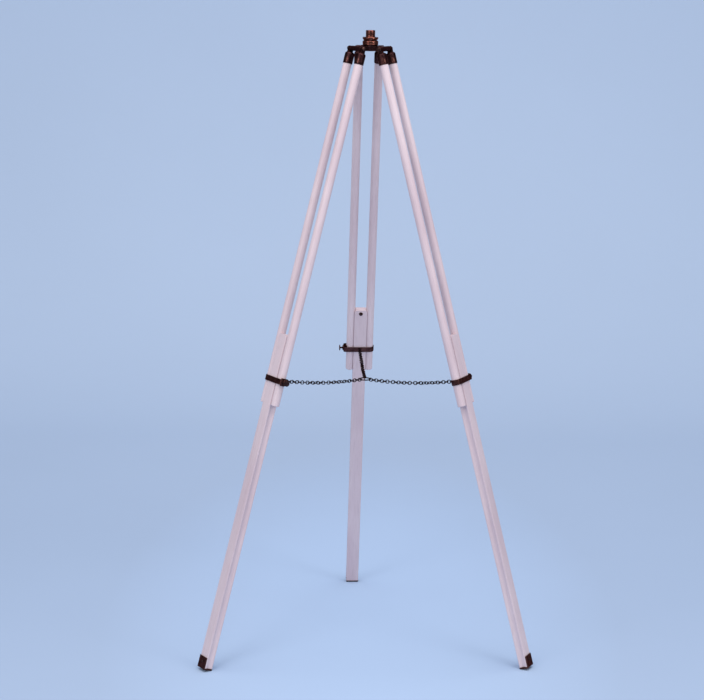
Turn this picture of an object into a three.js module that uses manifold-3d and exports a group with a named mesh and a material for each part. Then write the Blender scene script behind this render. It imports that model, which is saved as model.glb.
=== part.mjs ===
// Wooden field tripod: a turned metal spigot on a three-armed hub, and three
// two-part legs. Each leg is a pair of round wooden dowels with a sliding slat
// between them, gripped by a screw clamp, and tied by a chain to a central ring.
// Millimetres, +Z up. The origin is the centre of the spigot's flat top face.

import * as THREE from 'three';
import { mergeVertices } from 'three/addons/utils/BufferGeometryUtils.js';
import Module from 'manifold-3d';

const wasm = await Module();
wasm.setup();

const GAP = 0.3;                 // working clearance between neighbouring pieces
const CUT = 5;                   // how far a cutting tool runs past the faces it cuts
const RAD = Math.PI / 180;

// ---- head dimensions ------------------------------------------------------
const SPIGOT_R = 10.25;
const SPIGOT_H = 15.0;
const SPIGOT_CHAMFER = 0.8;
const FLANGE_R = 17.3;
const FLANGE_EDGE = 3.1;
const FLANGE_CHAMFER = 0.6;
const FLANGE_FOOT_Z = -22.4;     // underside of the flange cone
const FLANGE_FOOT_R = 14.8;
const STEM_R = 6.0;
const STEM_HOLE_R = STEM_R + GAP;
const STEM_BOTTOM_Z = -44.8;
const COLLAR_R = 17.4;
const COLLAR_TOP_Z = FLANGE_FOOT_Z - GAP;
const COLLAR_BOTTOM_Z = -32.4;

const HUB_TOP_Z = COLLAR_BOTTOM_Z - GAP;
const HUB_TOP_R = COLLAR_R - 1.2;
const HUB_SHOULDER = 3.0;        // height of the flare under the hub's top face
const HUB_BOSS_R = 15.6;
const HUB_CHAMFER = 0.8;
const HINGE_Z = -39.6;
const HINGE_RADIUS = 35.635;     // from the centre line to each leg's hinge axis
const BARREL_R = 5.7;
const BARREL_HALF = 19.6;
const BARREL_CHAMFER = 0.6;
const HUB_BOTTOM_Z = HINGE_Z - BARREL_R;
const ARM_THICK = 10.4;
const ARM_HALF_W = 12.5;
const ARM_END_HALF_W = 17.0;
const ARM_END_X = HINGE_RADIUS - 1;
const ARM_FLARE_X = 14;          // the arm's sides start to flare here
const ARM_CURVE_X = 24;          // control point of the flare
const ARM_BEVEL = 1.2;
const NUT_FLATS = 19;
const NUT_POCKET_R = 11.4;
const NUT_POCKET_TOP_Z = -39.4;

// ---- leg dimensions -------------------------------------------------------
// In a leg's own frame the origin is on the hinge axis, +X points away from the
// tripod's centre, +Y runs along the hinge axis and -Z runs down the leg.
const LEG_AZIMUTHS = [210, 330, 90];
const LEG_TILT = 15.6 * RAD;     // from vertical, standing open
const DOWEL_R = 9.5;
const DOWEL_CLEAR_R = DOWEL_R + GAP;
const DOWEL_Y = 22.4;            // each dowel's centre line, either side of the middle
const DOWEL_END_Z = -806.75;
const DOWEL_CHAMFER = 0.9;
const TENON_R = 8.7;
const FERRULE_R = 10.7;
const FERRULE_BORE_R = TENON_R + GAP;
const FERRULE_TOP_Z = -8.6;
const FERRULE_BORE_TOP_Z = -14;
const FERRULE_END_Z = -34.75;
const TONGUE_FOOT_Z = FERRULE_TOP_Z - 1.2; // the hinge tongue is sunk into the ferrule
const LUG_HALF = 4.0;
const LUG_OUT = 1.5;             // the hinge lugs stand this far outside the dowels' centre lines

// hinge bolt
const BOLT_R = 2.9;
const BOLT_HOLE_R = BOLT_R + GAP;
const BOLT_SEAT_Y = DOWEL_Y + LUG_OUT + LUG_HALF + GAP; // where head and nut bear
const BOLT_TAIL = 4.6;           // shank beyond the nut's seat
const BOLT_HEAD_R = 5.0;
const HINGE_NUT_FLATS = 9.6;
const HINGE_NUT_T = 3.8;

// sliding slat
const SLAT_HALF_W = 15.0;        // tangential
const SLAT_HALF_T = DOWEL_R;     // radial, flush with the dowels
const SLAT_TOP_Z = -647.75;
const SLAT_END_Z = -1412.75;
const SLAT_EDGE = 0.8;           // chamfer along the four long corners
const SLAT_END_BEVEL = 0.6;
const SLAT_CORNER = 3.5;         // the top corners are cut off at 45 degrees
const GROOVE_R = 9.9;            // the two long edges cradle the dowels
const SCREW_HOLE_DEPTH_X = 2.5;  // both screw holes reach x = -2.5
const STOP_SCREW_Z = -656.35;
const STOP_SCREW_R = 2.2;
const STOP_SCREW_TIP = 3.0;
const STOP_HEAD_R = 4.5;

// foot
const SHOE_END_Z = -1416.75;
const SHOE_PLATE = 2.0;
const SHOE_UPRIGHT = 28;
const SHOE_INNER_X = SLAT_HALF_T + GAP;
const SHOE_OUTER_X = SHOE_INNER_X + SHOE_PLATE;
const SHOE_SCREW_Z = -1398.75;
const SHOE_SCREW_R = 2.0;
const SHOE_HEAD_R = 3.9;

// clamp: places along Y are measured towards the screw end
const CLAMP_Z = -750.75;
const BAND_H = 12.5;
const BAND_WALL = 1.6;
const BAND_IN = DOWEL_CLEAR_R;   // inner half thickness of the loop
const BAND_OUT = BAND_IN + BAND_WALL;
const BAND_TAIL_Y = 37.5;        // inner face of the loop's screw end
const BAND_CORNER_OUT = 5.0;
const BAND_CORNER_IN = 3.4;
const BAND_BEVEL = 0.35;
const BOSS_R = 5.8;
const BOSS_CHAMFER = 0.7;
const BOSS_ROOT_Y = BAND_TAIL_Y + 0.6;
const BOSS_TIP_Y = 41.2;
const SCREW_R = 2.2;
const SCREW_HOLE_R = SCREW_R + GAP;
const SCREW_TIP_Y = 34.1;
const SCREW_HEAD_Y = 46.5;
const SCREW_HEAD_R = 6.75;
const SCREW_HEAD_T = 2.3;
const SCREW_CHAMFER = 0.6;
const SADDLE_HALF_W = 6.2;
const SADDLE_BACK_HALF_W = 3.8;
const SADDLE_FRONT_Y = 27.5;
const SADDLE_SHOULDER_Y = 33.0;
const SADDLE_BACK_Y = 35.6;
const SADDLE_HALF_H = 8.5;
const SADDLE_BEVEL = 0.4;

// chains
const EYE_X = -15.9;             // eye centre, inward of the leg's mid plane
const EYE_R = 3.2;
const EYE_WIRE_R = 0.9;
const EYE_SHANK_R = 1.6;
const EYE_PAD_R = 2.6;
const RING_R = 12.6;
const RING_WIRE_R = 1.3;
const RING_Z = -786.9;
const LINK_PITCH = 7.0;
const LINK_R = 1.2;
const LINK_NECK_R = 0.7;
const CHAIN_SAG = 6.0;           // how far the middle of a chain hangs below the straight line
const CHAIN_SIDE = 1.5;          // the halves lie side by side where they pass
const EYE_CHAIN_START = 5.0;     // free distance from the eye's centre
const RING_CHAIN_START = 3.0;    // free distance from the ring's wire
const CHAIN_END_GAP = 0.6;       // each half stops this far short of the middle

// ---- materials ------------------------------------------------------------
const metal = (color, roughness, metalness) =>
  new THREE.MeshStandardMaterial({ color, roughness, metalness });
const paint = () => metal(0xe6d3d8, 0.55, 0.0);
const bronze = () => metal(0x3b292b, 0.42, 0.85);
const copper = () => metal(0x8a523c, 0.36, 0.9);

// ---- solids ---------------------------------------------------------------
const move = (x, y, z) => new THREE.Matrix4().makeTranslation(x, y, z);
const alongY = new THREE.Matrix4().makeRotationX(-Math.PI / 2);      // +Z to +Y
const alongX = new THREE.Matrix4().makeRotationY(Math.PI / 2);       // +Z to +X
const alongMinusX = new THREE.Matrix4().makeRotationY(-Math.PI / 2); // +Z to -X

const place = (shape, matrix) => shape.transform(matrix.elements);

function solid(geometry, matrix) {
  let welded = geometry.clone();
  welded.deleteAttribute('normal');
  welded.deleteAttribute('uv');
  welded.applyMatrix4(matrix);
  welded = mergeVertices(welded, 1e-4);
  const mesh = new wasm.Mesh({
    numProp: 3,
    vertProperties: new Float32Array(welded.attributes.position.array),
    triVerts: new Uint32Array(welded.index.array),
  });
  mesh.merge();
  return new wasm.Manifold(mesh);
}

function piece(name, shape, material) {
  const { vertProperties, triVerts } = shape.getMesh();
  const geometry = new THREE.BufferGeometry();
  geometry.setAttribute('position',
    new THREE.BufferAttribute(new Float32Array(vertProperties), 3));
  geometry.setIndex(new THREE.BufferAttribute(new Uint32Array(triVerts), 1));
  geometry.computeVertexNormals();
  const mesh = new THREE.Mesh(geometry, material);
  mesh.name = name;
  return mesh;
}

// Turned solid about +Z. The profile is a list of [radius, z] going up.
function turned(profile, segments) {
  const closed = [[0, profile[0][1]], ...profile, [0, profile.at(-1)[1]]];
  const points = closed.map(([radius, z]) => new THREE.Vector2(radius, z));
  return solid(new THREE.LatheGeometry(points, segments),
    new THREE.Matrix4().makeRotationX(Math.PI / 2));
}

const rodZ = (radius, z0, z1, segments) => turned([[radius, z0], [radius, z1]], segments);
const rodY = (radius, y0, y1, segments) => place(rodZ(radius, y0, y1, segments), alongY);
const rodX = (radius, x0, x1, segments) => place(rodZ(radius, x0, x1, segments), alongX);

function block(x0, x1, y0, y1, z0, z1) {
  return solid(new THREE.BoxGeometry(x1 - x0, y1 - y0, z1 - z0),
    move((x0 + x1) / 2, (y0 + y1) / 2, (z0 + z1) / 2));
}

function polygon(points) {
  const outline = new THREE.Shape(points.map(([x, y]) => new THREE.Vector2(x, y)));
  outline.closePath();
  return outline;
}

function prism(outline, z0, z1, { curveSegments = 12, bevel = 0 } = {}) {
  const geometry = new THREE.ExtrudeGeometry(outline, {
    depth: z1 - z0 - 2 * bevel,
    curveSegments,
    bevelEnabled: bevel > 0,
    bevelThickness: bevel,
    bevelSize: bevel,
    bevelOffset: -bevel,
    bevelSegments: 1,
  });
  return solid(geometry, move(0, 0, z0 + bevel));
}

// Hexagonal nut blank with its corners turned off at both ends.
function hexPrism(acrossFlats, z0, z1) {
  const cornerR = acrossFlats / Math.sqrt(3);
  const faceR = acrossFlats / 2 - 0.3;
  const chamfer = 0.9;
  const corners = [];
  for (let i = 0; i < 6; i++) {
    const angle = (i * 60 + 30) * RAD;
    corners.push([cornerR * Math.cos(angle), cornerR * Math.sin(angle)]);
  }
  const cone = turned([
    [faceR, z0],
    [cornerR, z0 + chamfer],
    [cornerR, z1 - chamfer],
    [faceR, z1],
  ], 12);
  return prism(polygon(corners), z0, z1).intersect(cone);
}

// ---- head -----------------------------------------------------------------
// Spigot, flange and stem are one turned piece.
function mountSpigot() {
  return turned([
    [STEM_R, STEM_BOTTOM_Z],
    [STEM_R, FLANGE_FOOT_Z],
    [FLANGE_FOOT_R, FLANGE_FOOT_Z],
    [FLANGE_FOOT_R + 0.4, FLANGE_FOOT_Z + 1.0],
    [FLANGE_R, -SPIGOT_H - FLANGE_EDGE],
    [FLANGE_R, -SPIGOT_H - FLANGE_CHAMFER],
    [FLANGE_R - FLANGE_CHAMFER, -SPIGOT_H],
    [SPIGOT_R, -SPIGOT_H],
    [SPIGOT_R, -SPIGOT_CHAMFER],
    [SPIGOT_R - SPIGOT_CHAMFER, 0],
  ], 32);
}

function lockCollar() {
  const body = turned([
    [COLLAR_R - 1.0, COLLAR_BOTTOM_Z],
    [COLLAR_R, COLLAR_BOTTOM_Z + 1.0],
    [COLLAR_R, COLLAR_TOP_Z - 1.2],
    [COLLAR_R - 1.6, COLLAR_TOP_Z],
  ], 32);
  return body.subtract(rodZ(STEM_HOLE_R, COLLAR_BOTTOM_Z - CUT, COLLAR_TOP_Z + CUT, 24));
}

// One hub arm along +X, with the hinge barrel across its end.
function hubArm() {
  const plan = new THREE.Shape();
  plan.moveTo(0, -ARM_HALF_W);
  plan.lineTo(ARM_FLARE_X, -ARM_HALF_W);
  plan.quadraticCurveTo(ARM_CURVE_X, -ARM_HALF_W, ARM_END_X, -ARM_END_HALF_W);
  plan.lineTo(ARM_END_X, ARM_END_HALF_W);
  plan.quadraticCurveTo(ARM_CURVE_X, ARM_HALF_W, ARM_FLARE_X, ARM_HALF_W);
  plan.lineTo(0, ARM_HALF_W);
  plan.closePath();
  const arm = prism(plan, HINGE_Z - ARM_THICK / 2, HINGE_Z + ARM_THICK / 2,
    { curveSegments: 3, bevel: ARM_BEVEL });
  const barrel = turned([
    [BARREL_R - BARREL_CHAMFER, -BARREL_HALF],
    [BARREL_R, -BARREL_HALF + BARREL_CHAMFER],
    [BARREL_R, BARREL_HALF - BARREL_CHAMFER],
    [BARREL_R - BARREL_CHAMFER, BARREL_HALF],
  ], 20);
  return arm.add(place(barrel, move(HINGE_RADIUS, 0, HINGE_Z).multiply(alongY)));
}

// A central boss and three arms, bored for the stem, its nut and the hinge bolts.
function hubCasting() {
  const turns = LEG_AZIMUTHS.map((azimuth) => new THREE.Matrix4().makeRotationZ(azimuth * RAD));
  let hub = turned([
    [HUB_BOSS_R - HUB_CHAMFER, HUB_BOTTOM_Z],
    [HUB_BOSS_R, HUB_BOTTOM_Z + HUB_CHAMFER],
    [HUB_BOSS_R, HUB_TOP_Z - HUB_SHOULDER],
    [HUB_TOP_R, HUB_TOP_Z],
  ], 36);
  for (const turn of turns) {
    hub = hub.add(place(hubArm(), turn));
  }
  for (const turn of turns) {
    const hole = rodY(BOLT_HOLE_R, -BARREL_HALF - CUT, BARREL_HALF + CUT, 14);
    hub = hub.subtract(place(hole, turn.clone().multiply(move(HINGE_RADIUS, 0, HINGE_Z))));
  }
  return hub
    .subtract(rodZ(STEM_HOLE_R, HUB_BOTTOM_Z - CUT, HUB_TOP_Z + CUT, 24))
    .subtract(rodZ(NUT_POCKET_R, HUB_BOTTOM_Z - CUT, NUT_POCKET_TOP_Z, 28));
}

// The spigot's nut sits in a pocket in the hub's underside.
function spigotNut() {
  return hexPrism(NUT_FLATS, STEM_BOTTOM_Z, NUT_POCKET_TOP_Z - GAP)
    .subtract(rodZ(STEM_HOLE_R, STEM_BOTTOM_Z - CUT, NUT_POCKET_TOP_Z + CUT, 24));
}

// ---- legs: dowels and hinge -----------------------------------------------
// Side is -1 or 1, the side of the leg along Y.
function ferrule(side) {
  const y = side * DOWEL_Y;
  const lugY = y + side * LUG_OUT;
  const lug0 = lugY - LUG_HALF;
  const lug1 = lugY + LUG_HALF;
  const body = turned([
    [FERRULE_R, FERRULE_END_Z],
    [FERRULE_R, FERRULE_TOP_Z - 3.6],
    [FERRULE_R - 1.4, FERRULE_TOP_Z - 1.3],
    [FERRULE_R - 4.2, FERRULE_TOP_Z],
  ], 26);
  const tongue = rodY(BARREL_R, lug0, lug1, 20)
    .add(block(-BARREL_R, BARREL_R, lug0, lug1, TONGUE_FOOT_Z, 0));
  const bore = rodZ(FERRULE_BORE_R, FERRULE_END_Z - CUT, FERRULE_BORE_TOP_Z, 26);
  return place(body, move(0, y, 0))
    .add(tongue)
    .subtract(place(bore, move(0, y, 0)))
    .subtract(rodY(BOLT_HOLE_R, lug0 - CUT, lug1 + CUT, 14));
}

function dowel(side) {
  return place(turned([
    [DOWEL_R - DOWEL_CHAMFER, DOWEL_END_Z],
    [DOWEL_R, DOWEL_END_Z + DOWEL_CHAMFER],
    [DOWEL_R, FERRULE_END_Z - GAP],
    [TENON_R, FERRULE_END_Z - GAP],
    [TENON_R, FERRULE_BORE_TOP_Z - GAP],
  ], 26), move(0, side * DOWEL_Y, 0));
}

function hingeBolt() {
  return place(turned([
    [BOLT_R, -BOLT_SEAT_Y - BOLT_TAIL],
    [BOLT_R, BOLT_SEAT_Y],
    [BOLT_HEAD_R, BOLT_SEAT_Y],
    [BOLT_HEAD_R, BOLT_SEAT_Y + 1.6],
    [4.2, BOLT_SEAT_Y + 2.8],
    [2.2, BOLT_SEAT_Y + 3.5],
  ], 16), alongY);
}

function hingeNut() {
  const outerY = -BOLT_SEAT_Y - HINGE_NUT_T;
  return place(hexPrism(HINGE_NUT_FLATS, outerY, -BOLT_SEAT_Y)
    .subtract(rodZ(BOLT_HOLE_R, outerY - CUT, -BOLT_SEAT_Y + CUT, 16)), alongY);
}

// ---- legs: clamp ----------------------------------------------------------
const atClamp = move(0, 0, CLAMP_Z);

// Closed loop round both dowels, drawn in the leg's cross-section.
function loopOutline(halfWidth, tailY, corner) {
  const centreX = halfWidth - corner;
  const centreY = tailY - corner;
  const loop = new THREE.Shape();
  loop.moveTo(-halfWidth, -DOWEL_Y);
  loop.absarc(0, -DOWEL_Y, halfWidth, Math.PI, 2 * Math.PI, false);
  loop.lineTo(halfWidth, centreY);
  loop.absarc(centreX, centreY, corner, 0, Math.PI / 2, false);
  loop.lineTo(-centreX, tailY);
  loop.absarc(-centreX, centreY, corner, Math.PI / 2, Math.PI, false);
  loop.closePath();
  return loop;
}

function clampBand() {
  const half = BAND_H / 2;
  const outer = prism(loopOutline(BAND_OUT, BAND_TAIL_Y + BAND_WALL, BAND_CORNER_OUT),
    -half, half, { curveSegments: 6, bevel: BAND_BEVEL });
  const inner = prism(loopOutline(BAND_IN, BAND_TAIL_Y, BAND_CORNER_IN),
    -half - CUT, half + CUT, { curveSegments: 6 });
  const boss = place(turned([
    [BOSS_R, BOSS_ROOT_Y],
    [BOSS_R, BOSS_TIP_Y - BOSS_CHAMFER],
    [BOSS_R - BOSS_CHAMFER, BOSS_TIP_Y],
  ], 18), alongY);
  const band = outer
    .add(boss)
    .subtract(inner)
    .subtract(rodY(SCREW_HOLE_R, BAND_TAIL_Y - CUT, BOSS_TIP_Y + CUT, 12))
    .subtract(rodX(EYE_SHANK_R + GAP, -BAND_OUT - CUT, -BAND_IN + CUT, 10));
  return place(band, atClamp);
}

// Wire eye, pad and shank on the clamp's inward face.
function chainEye() {
  const ring = solid(new THREE.TorusGeometry(EYE_R, EYE_WIRE_R, 6, 16),
    move(EYE_X, 0, 0).multiply(new THREE.Matrix4().makeRotationX(Math.PI / 2)));
  const pad = place(turned([
    [EYE_PAD_R, BAND_OUT + GAP],
    [EYE_PAD_R, BAND_OUT + 1.2],
    [1.5, BAND_OUT + 1.9],
  ], 12), alongMinusX);
  const shank = rodX(EYE_SHANK_R, -BAND_OUT - GAP - 0.5, -BAND_IN - 0.2, 8);
  return place(ring.add(pad).add(shank), atClamp);
}

// Block between the screw's tip and the dowel on the +Y side.
function saddle() {
  const outline = polygon([
    [-SADDLE_HALF_W, SADDLE_FRONT_Y],
    [SADDLE_HALF_W, SADDLE_FRONT_Y],
    [SADDLE_HALF_W, SADDLE_SHOULDER_Y],
    [SADDLE_BACK_HALF_W, SADDLE_BACK_Y],
    [-SADDLE_BACK_HALF_W, SADDLE_BACK_Y],
    [-SADDLE_HALF_W, SADDLE_SHOULDER_Y],
  ]);
  const cradle = rodZ(DOWEL_CLEAR_R, -SADDLE_HALF_H - CUT, SADDLE_HALF_H + CUT, 36);
  const body = prism(outline, -SADDLE_HALF_H, SADDLE_HALF_H, { bevel: SADDLE_BEVEL })
    .subtract(place(cradle, move(0, DOWEL_Y, 0)))
    .subtract(rodY(SCREW_HOLE_R, SCREW_TIP_Y - GAP, SADDLE_BACK_Y + CUT, 12));
  return place(body, atClamp);
}

function thumbScrew() {
  const endY = SCREW_HEAD_Y + SCREW_HEAD_T;
  return place(turned([
    [SCREW_R, SCREW_TIP_Y],
    [SCREW_R, SCREW_HEAD_Y],
    [SCREW_HEAD_R - SCREW_CHAMFER, SCREW_HEAD_Y],
    [SCREW_HEAD_R, SCREW_HEAD_Y + SCREW_CHAMFER],
    [SCREW_HEAD_R, endY - SCREW_CHAMFER],
    [SCREW_HEAD_R - SCREW_CHAMFER, endY],
  ], 20), atClamp.clone().multiply(alongY));
}

// ---- legs: slat and foot --------------------------------------------------
function slat() {
  const x = SLAT_HALF_T;
  const y = SLAT_HALF_W;
  const section = polygon([
    [-x + SLAT_EDGE, -y], [x - SLAT_EDGE, -y], [x, -y + SLAT_EDGE], [x, y - SLAT_EDGE],
    [x - SLAT_EDGE, y], [-x + SLAT_EDGE, y], [-x, y - SLAT_EDGE], [-x, -y + SLAT_EDGE],
  ]);
  const half = SLAT_CORNER * Math.SQRT2 / 2;
  const quarterTurned = new THREE.Matrix4().makeRotationX(45 * RAD);
  let body = prism(section, SLAT_END_Z, SLAT_TOP_Z, { bevel: SLAT_END_BEVEL });
  for (const side of [-1, 1]) {
    const groove = rodZ(GROOVE_R, SLAT_END_Z - CUT, SLAT_TOP_Z + CUT, 32);
    const corner = block(-x - CUT, x + CUT, -half, half, -half, half);
    body = body
      .subtract(place(groove, move(0, side * DOWEL_Y, 0)))
      .subtract(place(corner, move(0, side * y, SLAT_TOP_Z).multiply(quarterTurned)));
  }
  const stopHole = rodX(STOP_SCREW_R + GAP, -x - CUT, -SCREW_HOLE_DEPTH_X, 10);
  const shoeHole = rodX(SHOE_SCREW_R + GAP, -SCREW_HOLE_DEPTH_X, x + CUT, 10);
  return body
    .subtract(place(stopHole, move(0, 0, STOP_SCREW_Z)))
    .subtract(place(shoeHole, move(0, 0, SHOE_SCREW_Z)));
}

// Screw in the slat's inward face, near its top.
function stopScrew() {
  const seat = SLAT_HALF_T + GAP;
  return place(turned([
    [STOP_SCREW_R, STOP_SCREW_TIP],
    [STOP_SCREW_R, seat],
    [STOP_HEAD_R, seat],
    [STOP_HEAD_R, seat + 0.7],
    [3.6, seat + 1.5],
    [1.8, seat + 1.8],
  ], 16), move(0, 0, STOP_SCREW_Z).multiply(alongMinusX));
}

// Sole under the slat with an upright plate on its outward face.
function footShoe() {
  const soleTopZ = SLAT_END_Z - GAP;
  const uprightTopZ = SHOE_END_Z + SHOE_UPRIGHT;
  const sideView = polygon([             // x outward, then z up the leg
    [-SLAT_HALF_T, SHOE_END_Z],
    [SHOE_OUTER_X, SHOE_END_Z],
    [SHOE_OUTER_X, uprightTopZ],
    [SHOE_INNER_X, uprightTopZ],
    [SHOE_INNER_X, soleTopZ],
    [-SLAT_HALF_T, soleTopZ],
  ]);
  const hole = rodX(SHOE_SCREW_R + GAP, SHOE_INNER_X - CUT, SHOE_OUTER_X + CUT, 10);
  return place(prism(sideView, -SLAT_HALF_W, SLAT_HALF_W),
    new THREE.Matrix4().makeRotationX(Math.PI / 2))
    .subtract(place(hole, move(0, 0, SHOE_SCREW_Z)));
}

function shoeScrew() {
  const seat = SHOE_OUTER_X + GAP;
  return place(turned([
    [SHOE_SCREW_R, 0],
    [SHOE_SCREW_R, seat],
    [SHOE_HEAD_R, seat],
    [SHOE_HEAD_R, seat + 0.5],
    [3.0, seat + 1.1],
  ], 12), move(0, 0, SHOE_SCREW_Z).multiply(alongX));
}

// ---- chains ---------------------------------------------------------------
// A run of small links, drawn as one slender beaded bar from start to end along +X.
function chainRun(start, end) {
  const count = Math.round((end - start) / LINK_PITCH);
  const step = (end - start) / count;
  const profile = [[LINK_NECK_R, start]];
  for (let i = 0; i < count; i++) {
    profile.push([LINK_R, start + step * (i + 0.5)]);
    profile.push([LINK_NECK_R, start + step * (i + 1)]);
  }
  return place(turned(profile, 6), alongX);
}

function chainRing() {
  return solid(new THREE.TorusGeometry(RING_R, RING_WIRE_R, 8, 28), move(0, 0, RING_Z));
}

// Places in a leg's upright plane: x is the distance from the centre line.
const eye = {
  x: HINGE_RADIUS + EYE_X * Math.cos(LEG_TILT) - CLAMP_Z * Math.sin(LEG_TILT),
  z: HINGE_Z + EYE_X * Math.sin(LEG_TILT) + CLAMP_Z * Math.cos(LEG_TILT),
};
const middle = { x: (eye.x + RING_R) / 2, z: (eye.z + RING_Z) / 2 - CHAIN_SAG };

// Each half hangs from its own end and runs towards the middle.
const CHAIN_HALVES = [
  { half: 'outer', from: eye, start: EYE_CHAIN_START, side: CHAIN_SIDE },
  { half: 'inner', from: { x: RING_R, z: RING_Z }, start: RING_CHAIN_START, side: -CHAIN_SIDE },
];

// ---- assembly -------------------------------------------------------------
function subgroup(parent, name, x = 0, z = 0, turnY = 0) {
  const group = new THREE.Group();
  group.name = name;
  group.position.set(x, 0, z);
  group.rotation.y = turnY;
  parent.add(group);
  return group;
}

function addChainHalf(arm, n, { half, from, start, side }) {
  const dx = middle.x - from.x;
  const dz = middle.z - from.z;
  const group = subgroup(arm, `chain_${n}_${half}_half`, from.x, from.z, Math.atan2(-dz, dx));
  const links = chainRun(start, Math.hypot(dx, dz) - CHAIN_END_GAP);
  const run = piece(`chain_${half}_${n}`, links, bronze());
  run.position.y = side;
  group.add(run);
}

function addLeg(tripod, azimuth, n) {
  const arm = subgroup(tripod, `leg_${n}_azimuth`);
  arm.rotation.z = azimuth * RAD;

  const pin = subgroup(arm, `leg_${n}_pin`, HINGE_RADIUS, HINGE_Z);
  pin.add(piece(`hinge_bolt_${n}`, hingeBolt(), bronze()));
  pin.add(piece(`hinge_nut_${n}`, hingeNut(), bronze()));

  const leg = subgroup(arm, `leg_${n}`, HINGE_RADIUS, HINGE_Z, -LEG_TILT);
  leg.add(piece(`ferrule_${n}a`, ferrule(-1), bronze()));
  leg.add(piece(`ferrule_${n}b`, ferrule(1), bronze()));
  leg.add(piece(`dowel_${n}a`, dowel(-1), paint()));
  leg.add(piece(`dowel_${n}b`, dowel(1), paint()));
  leg.add(piece(`clamp_band_${n}`, clampBand(), bronze()));
  leg.add(piece(`chain_eye_${n}`, chainEye(), bronze()));
  leg.add(piece(`clamp_saddle_${n}`, saddle(), bronze()));
  leg.add(piece(`thumb_screw_${n}`, thumbScrew(), bronze()));
  leg.add(piece(`slat_${n}`, slat(), paint()));
  leg.add(piece(`stop_screw_${n}`, stopScrew(), bronze()));
  leg.add(piece(`foot_shoe_${n}`, footShoe(), bronze()));
  leg.add(piece(`shoe_screw_${n}`, shoeScrew(), bronze()));

  CHAIN_HALVES.forEach((entry) => addChainHalf(arm, n, entry));
}

const tripod = new THREE.Group();
tripod.name = 'wooden_field_tripod';
tripod.add(piece('mount_spigot', mountSpigot(), copper()));
tripod.add(piece('lock_collar', lockCollar(), copper()));
tripod.add(piece('hub_casting', hubCasting(), bronze()));
tripod.add(piece('spigot_nut', spigotNut(), bronze()));
LEG_AZIMUTHS.forEach((azimuth, i) => addLeg(tripod, azimuth, i + 1));
tripod.add(piece('chain_ring', chainRing(), bronze()));

export default tripod;
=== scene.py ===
"""Wooden tripod: bronze head with a copper spigot, three splayed legs and gathering chains.

The origin is the centre of the spigot's top, on the tripod's axis, with +Z up. Each leg has its
own frame: origin on its hinge, +X outward, Y along the hinge pin, Z up along the leg. A leg is
two dowels side by side with a slat held between them by a clamp. Piece sizes are in millimetres,
scaled by MM; studio sizes are in metres.
"""
import math

import bmesh
import bpy
import numpy as np
from mathutils import Matrix, Vector


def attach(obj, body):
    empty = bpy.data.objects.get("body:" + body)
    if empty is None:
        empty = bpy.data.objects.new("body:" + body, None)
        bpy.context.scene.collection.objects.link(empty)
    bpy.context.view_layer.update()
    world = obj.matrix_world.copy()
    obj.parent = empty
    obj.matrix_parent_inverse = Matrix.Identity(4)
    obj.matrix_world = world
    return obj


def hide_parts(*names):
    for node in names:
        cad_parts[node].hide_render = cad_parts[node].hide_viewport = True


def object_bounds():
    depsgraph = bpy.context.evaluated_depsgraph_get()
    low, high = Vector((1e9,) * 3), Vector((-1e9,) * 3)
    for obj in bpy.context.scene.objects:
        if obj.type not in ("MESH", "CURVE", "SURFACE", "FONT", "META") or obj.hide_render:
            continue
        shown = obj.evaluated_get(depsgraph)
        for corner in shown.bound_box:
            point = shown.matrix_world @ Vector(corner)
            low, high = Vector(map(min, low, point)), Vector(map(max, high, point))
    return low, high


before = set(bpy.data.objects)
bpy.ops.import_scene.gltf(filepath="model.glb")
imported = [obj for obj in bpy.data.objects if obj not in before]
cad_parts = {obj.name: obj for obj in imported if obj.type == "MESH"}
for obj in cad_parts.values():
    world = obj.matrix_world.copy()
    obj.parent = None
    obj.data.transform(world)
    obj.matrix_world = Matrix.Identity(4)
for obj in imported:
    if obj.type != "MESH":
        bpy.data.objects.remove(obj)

bounds_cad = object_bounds()

MM = 0.001
LEGS = (1, 2, 3)
LEG_AZIMUTH = {1: 210.0, 2: 330.0, 3: 90.0}
LEG_TILT = math.radians(15.6)
HINGE_R, HINGE_Z = 35.635, -39.6
DOWEL_Y = 22.4              # dowel axes either side of the leg's centre
DOWEL_R = 9.5
DOWEL_END = -806.75
LUG_SHIFT = 1.5             # ferrule lug, outward from the dowel axis
LUG_HALF = 4.0
HINGE_END = DOWEL_Y + LUG_SHIFT + LUG_HALF + 0.3    # seat of the bolt head and nut
CLAMP_Z = -750.75
SLAT_TOP, SLAT_END = -647.75, -1412.75
SLAT_HALF_W, SLAT_HALF_T = 15.0, 9.5
STOP_SCREW_Z = SLAT_TOP - 8.6
SHOE_SCREW_Z = SLAT_END + 14.0
EYE_X = -15.9               # chain eye, on the inward side of the clamp


# ---------------------------------------------------------------- transforms
def offset(x=0.0, y=0.0, z=0.0):
    return Matrix.Translation((x, y, z))


def offset_mm(x=0.0, y=0.0, z=0.0):
    """Translation in metres from millimetres, for placing objects."""
    return offset(x * MM, y * MM, z * MM)


def azimuth(n):
    return Matrix.Rotation(math.radians(LEG_AZIMUTH[n]), 4, "Z")


IDENTITY = Matrix.Identity(4)
ALONG_Y = Matrix.Rotation(-math.pi / 2, 4, "X")     # +Z to +Y
ALONG_X = Matrix.Rotation(math.pi / 2, 4, "Y")      # +Z to +X
INWARD = Matrix.Rotation(-math.pi / 2, 4, "Y")      # +Z to -X
Z_TO_MINUS_Y = Matrix.Rotation(math.pi / 2, 4, "X")
CLAMP_AT = offset(0, 0, CLAMP_Z)
CLAMP_ALONG_Y = CLAMP_AT @ ALONG_Y
CLAMP_INWARD = CLAMP_AT @ INWARD


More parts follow.
